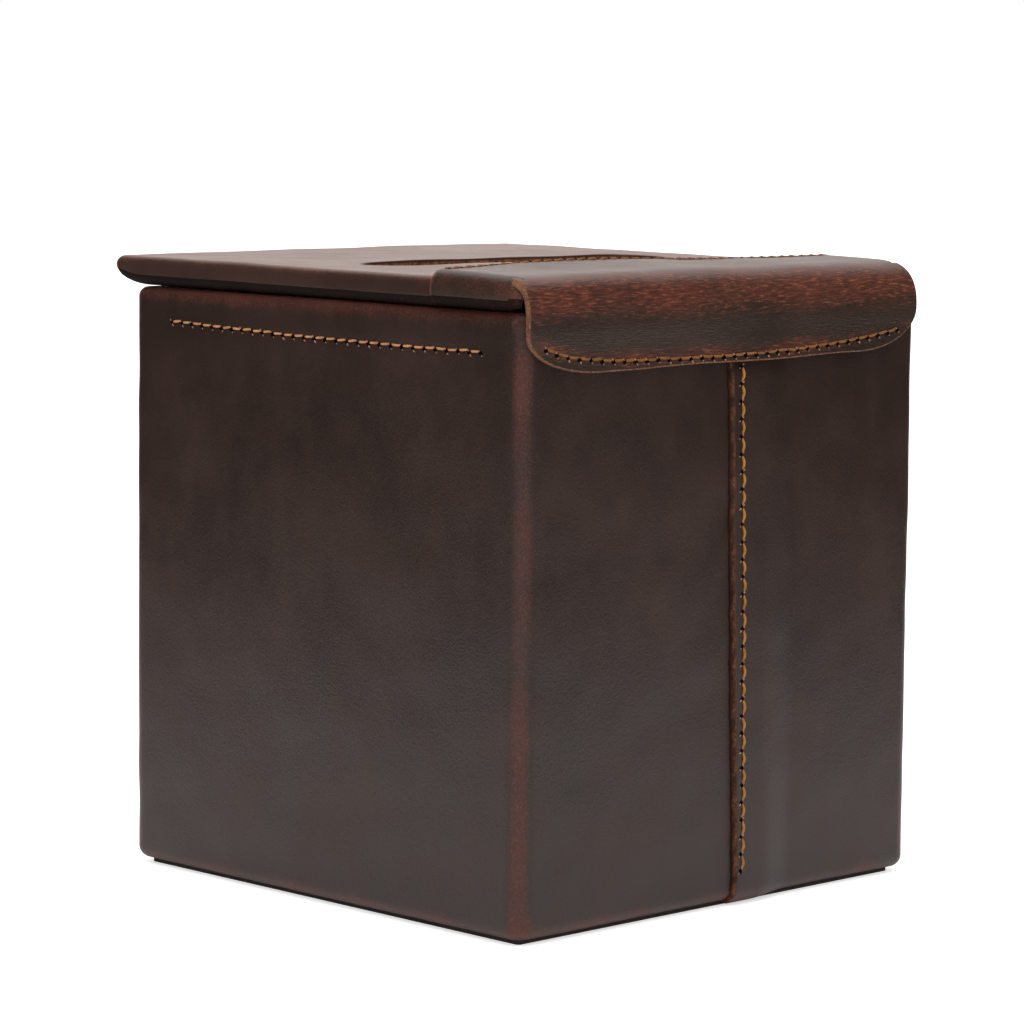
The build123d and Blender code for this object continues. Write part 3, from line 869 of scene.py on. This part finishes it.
# %% The strap's points, station by station
strap_rows, cap_rows = [], 0
for kind, value in stations:
    y, z = strap_station(kind, value, flat_x)
    middle = np.stack([flat_x, y, z], axis=-1)
    if kind == "lid" or (kind == "bend" and y[-1] < NOTCH_Y):
        cap_rows += 1
        closing = smooth_step((y[-1] - EAR_CLOSING_Y) / (NOTCH_Y - EAR_CLOSING_Y))
        right = ear_points(1, y[-1], z[-1], closing)
        left = ear_points(-1, y[0], z[0], closing)
    else:
        right, left = strip_edge_points(1, kind, value), strip_edge_points(-1, kind, value)
    strap_rows.append(np.concatenate([left[::-1], middle, right]))
strap_points = np.stack(strap_rows)
strap_points[..., 1:] += 0.07 * MM * ripple(strap_points, 17 * MM, 21)[..., None]

notch = len(ear_share) - 1
strap_quads = grid_faces(*strap_points.shape[:2], False, False).reshape(len(stations) - 1, -1, 4)
keep = np.ones(strap_quads.shape[:2], bool)
keep[cap_rows - 1, :notch] = False
keep[cap_rows - 1, -notch:] = False
strap_faces = strap_quads[keep]
print("strap", strap_points.shape[:2], "points,", cap_rows, "stations on the lid")

# %% Where the strap is worn, raw or in painted shade, with a painted highlight on the ears' front ridge
FLAP_START_Y = 66 * MM  # the strap behind this is the flap, and in front of it the lid's part
across, along, up = strap_points[..., 0], strap_points[..., 1], strap_points[..., 2]
rubbing = 0.5 + 0.5 * ripple(strap_points, 21 * MM, 23)
bend_top = smooth_step((up - 131 * MM) / (10 * MM)) * smooth_step((along - 59.5 * MM) / (5 * MM))
bend_top = bend_top * (0.76 + 0.18 * rubbing)
from_row = up - flap_row_z(across)
sewn = hump(from_row - 0.5 * MM, 2.2 * MM) * (along > FLAP_START_Y) * (0.35 + 0.4 * rubbing)
end_rub = 0.35 * smooth_step((np.abs(across) - 62.5 * MM) / (2 * MM))
front_rub_and_highlight = 0.5 * hump(along - STRAP_FRONT, 0.9 * MM) * (0.5 + 0.5 * rubbing)
# On the ears' front ridge the rub is raised further: a painted highlight on top of the real rubbing.
front_rub_and_highlight = front_rub_and_highlight * (1 + 0.8 * (np.abs(across) > 63 * MM))
strap_wear_and_highlight = np.clip(np.maximum(bend_top, sewn), 0.12, 1)
strap_wear_and_highlight = np.maximum(np.maximum(strap_wear_and_highlight, end_rub), front_rub_and_highlight)
last_stations = np.arange(len(stations)) >= len(stations) - 2
strap_raw = 0.55 * last_stations[:, None] * np.ones_like(strap_wear_and_highlight)
# Painted shade on the ears' foot, which lies in shade under the lid; there the leather is also matte.
strap_painted_shade_and_matte = 0.5 * smooth_step((EAR_BOTTOM + 3.4 * MM - up) / (1.6 * MM))
strap_painted_shade_and_matte = strap_painted_shade_and_matte * (along < FLAP_START_Y) * (up > 136.5 * MM)
bare = smooth_step((along - 60.5 * MM) / (1.5 * MM))

# %% The strap's mesh
# The rim takes the material after its face's own: the cut edge follows each leather in the list.
strap = mesh_object("strap_leather", strap_points, strap_faces, {
    "wear_and_highlight": strap_wear_and_highlight, "raw": strap_raw, "painted_shade_and_matte": strap_painted_shade_and_matte, "bare": bare})
for finish in (strap_leather, strap_edge, painted_shade_leather, strap_edge):
    strap.data.materials.append(finish)
# Faces of the ears tucked under the lid take the darker copy of the leather, as painted shade.
centre = strap_points.reshape(-1, 3)[strap_faces].mean(axis=1)
tucked = (centre[:, 2] < EAR_BOTTOM + 2.1 * MM) & (centre[:, 1] < FLAP_START_Y)
strap.data.polygons.foreach_set("material_index", 2 * tucked.astype(np.int32))
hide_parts("strap_top", "strap_bend", "strap_flap")
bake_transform(strap)
thick = strap.modifiers.new("thickness", "SOLIDIFY")
thick.thickness = STRAP - 0.3 * MM
thick.offset = -1
thick.material_offset_rim = 1
print("strap_leather", len(strap_faces), "faces,", int(tucked.sum()), "of them tucked under the lid")

# %% [markdown]
# ## Stitches
# A saddle stitch shows as a short thread that comes up through one hole and goes
# down through the next, lying a little aslant. Each is a tube along a shallow
# arch: a grid of rings, worked out for a whole row of stitches at once. A dark
# lens sunk in the leather at each end paints the shade inside the hole, and two
# small grains of lighter leather stand beside it where the awl has pushed them up.

# %% Closed tubes for a whole row at once
def unit(vectors):
    """Vectors scaled to length one."""
    return vectors / np.linalg.norm(vectors, axis=-1, keepdims=True)


def tube_faces(count, rings, sides):
    """Faces of count closed tubes: quads between the rings, and a flat cap at each end."""
    quads = grid_faces(rings, sides, False, True)
    caps = np.array([np.arange(sides)[::-1], np.arange(sides) + (rings - 1) * sides])
    start = np.arange(count)[:, None, None] * rings * sides
    return (quads + start).reshape(-1, 4).tolist() + (caps + start).reshape(-1, sides).tolist()


def thread_tubes(name, node, middle, along, up, length, width, material, body, rise, bow):
    """Point = middle + length t along + arch cos(pi t) up - bow cos(pi t) side + ring, thin at both ends."""
    t = np.linspace(-0.5, 0.5, 11)
    ring = np.linspace(0, 2 * np.pi, 9)[:-1]
    side = unit(np.cross(up, along))
    arch = rise * (np.cos(np.pi * t) - 0.35)
    girth = width / 2 * (1 - 0.35 * np.abs(2 * t) ** 3)
    centre = middle[:, None] + along[:, None] * (length * t)[None, :, None]
    centre = centre + up[:, None] * arch[None, :, None]
    centre = centre + side[:, None] * (bow * np.cos(np.pi * t))[None, :, None]
    across = side[:, None, None] * np.cos(ring)[None, None, :, None]
    high = up[:, None, None] * 0.8 * np.sin(ring)[None, None, :, None]
    points = centre[:, :, None] + girth[None, :, None, None] * (across + high)
    count, rings, sides = points.shape[:3]
    piece = mesh_object(name, points, tube_faces(count, rings, sides))
    index = np.zeros(len(piece.data.loops), int)
    piece.data.loops.foreach_get("vertex_index", index)
    layer = piece.data.uv_layers.new(name="UVMap")
    along_share = (index // sides % rings) / (rings - 1) * length / width
    around = (index % sides) / sides
    layer.uv.foreach_set("vector", np.stack([along_share, around], axis=1).astype(np.float32).ravel())
    piece.data.materials.append(material)
    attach(piece, body)
    if node:
        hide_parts(node)


# %% Holes and grains for a whole row at once
def grains(name, middle, along, up, size, material, body):
    """Closed lenses, size = (length, width, height): middle + half of
    length cos(level) cos(ring) along + width cos(level) sin(ring) side + height sin(level) up."""
    levels, sides = 3, 6
    ring = np.linspace(0, 2 * np.pi, sides + 1)[:-1]
    level = np.radians(np.linspace(-60, 60, levels))
    side = np.cross(up, along)
    flat = (size[:, 0, None, None] * np.cos(level)[:, None] * np.cos(ring))[..., None] * along[:, None, None]
    wide = (size[:, 1, None, None] * np.cos(level)[:, None] * np.sin(ring))[..., None] * side[:, None, None]
    high = (size[:, 2, None, None] * np.sin(level)[:, None] * np.ones(sides))[..., None] * up[:, None, None]
    points = middle[:, None, None] + (flat + wide + high) / 2
    piece = mesh_object(name, points, tube_faces(len(middle), levels, sides))
    piece.data.materials.append(material)
    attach(piece, body)


# %% Sew a row of stitches
HOLE_SIZE = np.array([1.35, 1.1, 0.34]) * MM
GRAIN_SIZE = np.array([0.85, 0.36, 0.5]) * MM
HOLE_AHEAD, HOLE_BELOW, HOLE_OUT = 0.10 * MM, 0.36 * MM, 0.09 * MM
GRAIN_ABOVE, GRAIN_BELOW = 0.68 * MM, 0.66 * MM
ROW_POINTS = 160


def sew(name, node, path, up, pitch, length, width, slant, thread, body, seed, rise=0.34 * MM, bow=0.0):
    """A row of stitches along a path of points: evenly spaced, each turned by slant degrees about up.

    The holes lie half a pitch before and after each stitch's middle, a little below the thread,
    and a grain stands above and below each hole.
    """
    rng = np.random.default_rng(seed)
    step = np.linalg.norm(np.diff(path, axis=0), axis=1)
    travelled = np.concatenate([[0], np.cumsum(step)])

    def sample(values, at):
        return np.stack([np.interp(at, travelled, values[:, k]) for k in range(3)], axis=1)

    count = int(travelled[-1] / pitch)
    at = (np.arange(count) + 0.5) * travelled[-1] / count
    middle = sample(path, at)
    normal = unit(sample(up, at))
    direction = unit(sample(path, at + 0.4 * pitch) - sample(path, at - 0.4 * pitch))
    side = np.cross(normal, direction)
    turn = np.radians(slant + rng.normal(0, 3.0, count))[:, None]
    along = unit(direction * np.cos(turn) + side * np.sin(turn))
    middle = middle + side * rng.normal(0, 0.06 * MM, count)[:, None]
    thread_tubes(name, node, middle, along, normal, length, width, thread, body, rise, bow)

    ahead, high, out = (np.concatenate([v, v[-1:]]) for v in (direction, side, normal))
    holes = np.concatenate([middle - direction * pitch * 0.5, middle[-1:] + direction[-1:] * pitch * 0.5])
    holes = holes - high * HOLE_BELOW + ahead * HOLE_AHEAD + out * HOLE_OUT
    spread = rng.uniform(0.85, 1.15, (3, count + 1)).T
    spread[:, 2] = 1  # every hole is equally deep
    # The holes: near-black lenses that paint the shade inside each needle hole.
    grains(name + "_hole_shade", holes, ahead, out, HOLE_SIZE * spread, needle_hole_shade, body)
    up_left = unit(high - 0.8 * ahead)
    down_right = unit(0.7 * ahead - high)
    bits = np.concatenate([holes + up_left * GRAIN_ABOVE, holes + down_right * GRAIN_BELOW])
    lean = np.concatenate([up_left, down_right])
    sizes = rng.uniform(0.6, 1.15, (2 * count + 2, 1)) * GRAIN_SIZE
    grains(name + "_grains", bits, lean, np.concatenate([out, out]), sizes, lifted_grain, body)
    print(name, count, "stitches over", round(1000 * travelled[-1]), "mm")


# %% Hem rows, outside and inside the walls
def hem_height(along):
    """The hem row's height along a wall: a shallow bow that falls towards the rear."""
    return 128.75 * MM - 0.0145 * along + 0.00019 * along**2 / MM


HEM = dict(pitch=3.5 * MM, length=2.8 * MM, width=0.54 * MM, slant=3, thread=tan_thread, body="box")
# Way out of the wall, way along it, how far out it is, half the row in millimetres, and whether the
# row runs to the rear (1), to the front (-1) or neither (0).
HEM_WALLS = {
    "right": ((1, 0), (0, 1), HALF_X, 51.8, 1),
    "left": ((-1, 0), (0, -1), HALF_X, 51.8, -1),
    "front": ((0, -1), (1, 0), HALF_Y, 51.0, 0),
}
for number, (side_name, (out, way, reach, end, to_rear)) in enumerate(HEM_WALLS.items()):
    run = np.linspace(-end, end, 120) * MM + 0.85 * MM * to_rear
    out3, way3 = np.array([*out, 0.0]), np.array([*way, 0.0])
    level = hem_height(run * to_rear)
    path = run[:, None] * way3 + out3 * reach + level[:, None] * np.array([0, 0, 1.0])
    path = path + out3 * (wall_waves(path) - 0.10 * MM)[:, None]
    normal = np.broadcast_to(out3, path.shape)
    sew(f"hem_thread_{side_name}", f"stitches_{side_name}", path, normal, seed=30 + number, **HEM)
    inside = path[::-1] - out3 * HEM_INSET
    sew(f"hem_inside_{side_name}", None, inside, -normal, seed=40 + number, **HEM)

# %% The flap's row, outside and inside the wall
rearward = np.broadcast_to(np.array([0.0, 1.0, 0.0]), (ROW_POINTS, 3))
x = np.linspace(60.4, -54.6, ROW_POINTS) * MM
z = flap_row_z(x)
path = np.stack([x, flap_y(x, z) + 0.02 * MM, z], axis=1)
sew("flap_thread_row", "stitches_flap", path, rearward, pitch=3.5 * MM, length=2.9 * MM, width=0.64 * MM,
    slant=1, thread=flap_thread, body="box", seed=50, rise=0.22 * MM)
inside = np.stack([x[::-1], np.full(ROW_POINTS, HALF_Y - HEM_INSET), z[::-1]], axis=1)
sew("flap_thread_inside", None, inside, -rearward, pitch=3.5 * MM, length=3.0 * MM, width=0.85 * MM,
    slant=9, thread=tan_thread, body="box", seed=51)

# %% The seam's row and the row along the strap's front edge
SEAM_ROW_X = {8.6 * MM: -4.7 * MM, 70 * MM: -4.1 * MM, 115.4 * MM: -2.5 * MM}
z = np.linspace(123.4, 8.2, ROW_POINTS) * MM
path = np.stack([table_value(SEAM_ROW_X, z), np.full(ROW_POINTS, HALF_Y + SEAM_RISE - 0.05 * MM), z], axis=1)
path[:, 1] += wall_waves(path)
sew("seam_thread_row", "stitches_seam", path, rearward, pitch=3.9 * MM, length=3.4 * MM, width=0.75 * MM,
    slant=0, thread=ochre_thread, body="box", seed=52, rise=0.30 * MM, bow=0.35 * MM)

upward = np.broadcast_to(np.array([0.0, 0.0, 1.0]), (ROW_POINTS, 3))
x = np.linspace(-61.5, 61.5, ROW_POINTS) * MM
y = np.full(ROW_POINTS, STRAP_FRONT + 1.7 * MM)
path = np.stack([x, y, strap_top_z(x, y) - 0.02 * MM], axis=1)
sew("strap_thread_row", "stitches_strap", path, upward, pitch=3.5 * MM, length=2.9 * MM, width=0.80 * MM,
    slant=9, thread=flap_thread, body="lid", seed=53, rise=0.20 * MM)

# %% [markdown]
# ## Pieces kept from the construction
# The boards, the linings, the base panel and the core of the lid have the right
# shape already. They only get their finish.

# %% Finishes for the construction's own pieces
KEPT = {
    millboard: ["front_board", "rear_board", "left_board", "right_board", "base_board", "base_infill"],
    suede: ["wall_lining", "floor_lining", "lid_lining"],
    lid_core: ["lid_board"],
    base_leather: ["base_panel"],
}
for material, names in KEPT.items():
    for name in names:
        node_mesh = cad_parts[name].data
        node_mesh.materials.clear()
        node_mesh.materials.append(material)
print("kept", sum(len(names) for names in KEPT.values()), "construction pieces")

# %% [markdown]
# ## Floor, light and camera
# A pale floor and a soft white room. The camera stands where the photograph was
# taken from: its place and turn were worked out from the box's corners. The floor
# glows a little where the camera or a reflection sees it, but sheds no light, so it
# looks white and keeps the box's shadow.

# %% Floor
def card(name, corners, material):
    """A flat panel of the stage between four corners."""
    mesh = bpy.data.meshes.new(name)
    mesh.from_pydata(corners, [], [(0, 1, 2, 3)])
    panel = bpy.data.objects.new(name, mesh)
    bpy.context.scene.collection.objects.link(panel)
    mesh.materials.append(material)
    return panel


REACH = 40.0
material, tree, shader = new_material("floor_paper")
shader.inputs["Base Color"].default_value = (0.93, 0.93, 0.93, 1)
shader.inputs["Roughness"].default_value = 0.9
shader.inputs["Specular IOR Level"].default_value = 0.1
seen = add(tree, "ShaderNodeLightPath").outputs
direct = math(tree, "MAXIMUM", seen["Is Camera Ray"], seen["Is Transmission Ray"])
mirrored = math(tree, "MULTIPLY", seen["Is Glossy Ray"], 0.08)
glow = math(tree, "ADD", math(tree, "MULTIPLY", direct, 0.55), mirrored)
tree.links.new(glow, shader.inputs["Emission Strength"])
shader.inputs["Emission Color"].default_value = (1, 1, 1, 1)
card("floor", [(-REACH, -REACH, 0), (REACH, -REACH, 0), (REACH, REACH, 0), (-REACH, REACH, 0)], material)

# %% Dark cards beside the box and behind the camera
# A photographer stands dark cards round a glossy thing, out of the picture, so that
# its sides don't mirror the white room. These are there for reflections only.
DIAGONAL = 0.7071
material, tree, shader = new_material("dark_card")
shader.inputs["Base Color"].default_value = (0.02, 0.018, 0.016, 1)
shader.inputs["Roughness"].default_value = 0.9
CARDS = {
    "right": dict(outward=(1, -1, 0), sideways=(1, 1, 0), away=0.36, shift=0.20, half=0.62, tall=0.9),
    "left": dict(outward=(-1, 1, 0), sideways=(1, 1, 0), away=0.36, shift=0.20, half=0.62, tall=0.9),
    "camera": dict(outward=(1, 1, 0), sideways=(1, -1, 0), away=1.05, shift=0.0, half=0.85, tall=1.9),
}
for side, plan in CARDS.items():
    foot = DIAGONAL * plan["away"] * Vector(plan["outward"])
    sideways = DIAGONAL * Vector(plan["sideways"])
    low = [foot + sideways * (plan["shift"] - plan["half"]), foot + sideways * (plan["shift"] + plan["half"])]
    corners = low + [corner + Vector((0, 0, plan["tall"])) for corner in reversed(low)]
    panel = card(f"dark_card_{side}", [tuple(corner) for corner in corners], material)
    panel.visible_camera = False
    panel.visible_diffuse = False
    panel.visible_transmission = False
    panel.visible_shadow = False
print("cards", ", ".join(CARDS))

# %% World and lamp
world = bpy.data.worlds.new("room")
bpy.context.scene.world = world
world.use_nodes = True
tree = world.node_tree
tree.nodes.clear()
background = add(tree, "ShaderNodeBackground", {"Color": (1, 1, 1, 1), "Strength": 1.0})
output = add(tree, "ShaderNodeOutputWorld")
tree.links.new(background.outputs[0], output.inputs["Surface"])


def soft_lamp(name, place, target, size, power):
    """A square area lamp at place, turned to face target."""
    lamp = bpy.data.lights.new(name, "AREA")
    lamp.shape, lamp.size, lamp.energy = "SQUARE", size, power
    holder = bpy.data.objects.new(name, lamp)
    holder.location = place
    holder.rotation_euler = (Vector(target) - Vector(place)).to_track_quat("-Z", "Y").to_euler()
    bpy.context.scene.collection.objects.link(holder)


soft_lamp("overhead", (0.35, 0.45, 1.25), (0, 0, 0.07), 0.8, 4.0)

# %% Camera
CAMERA_PLACE = (661.89 * MM, 672.79 * MM, 189.19 * MM)
CAMERA_YAW, CAMERA_PITCH, CAMERA_ROLL = np.radians([225.617, 6.309, 0.524])
PICTURE = 1024
FOCAL_PIXELS = 4018.8
forward = Vector((
    np.cos(CAMERA_PITCH) * np.cos(CAMERA_YAW),
    np.cos(CAMERA_PITCH) * np.sin(CAMERA_YAW),
    -np.sin(CAMERA_PITCH),
))
right = forward.cross(Vector((0, 0, 1))).normalized()
upright = right.cross(forward)
rolled_right = np.cos(CAMERA_ROLL) * right + np.sin(CAMERA_ROLL) * upright
rolled_up = -np.sin(CAMERA_ROLL) * right + np.cos(CAMERA_ROLL) * upright
camera_data = bpy.data.cameras.new("camera")
camera_data.sensor_width = 36.0
camera_data.lens = FOCAL_PIXELS / PICTURE * camera_data.sensor_width
camera_data.clip_start = 0.01
camera = bpy.data.objects.new("camera", camera_data)
turned_camera = Matrix((rolled_right, rolled_up, -forward)).transposed().to_4x4()
camera.matrix_world = Matrix.Translation(CAMERA_PLACE) @ turned_camera
bpy.context.scene.collection.objects.link(camera)
bpy.context.scene.camera = camera
bpy.context.scene.view_settings.view_transform = "Standard"
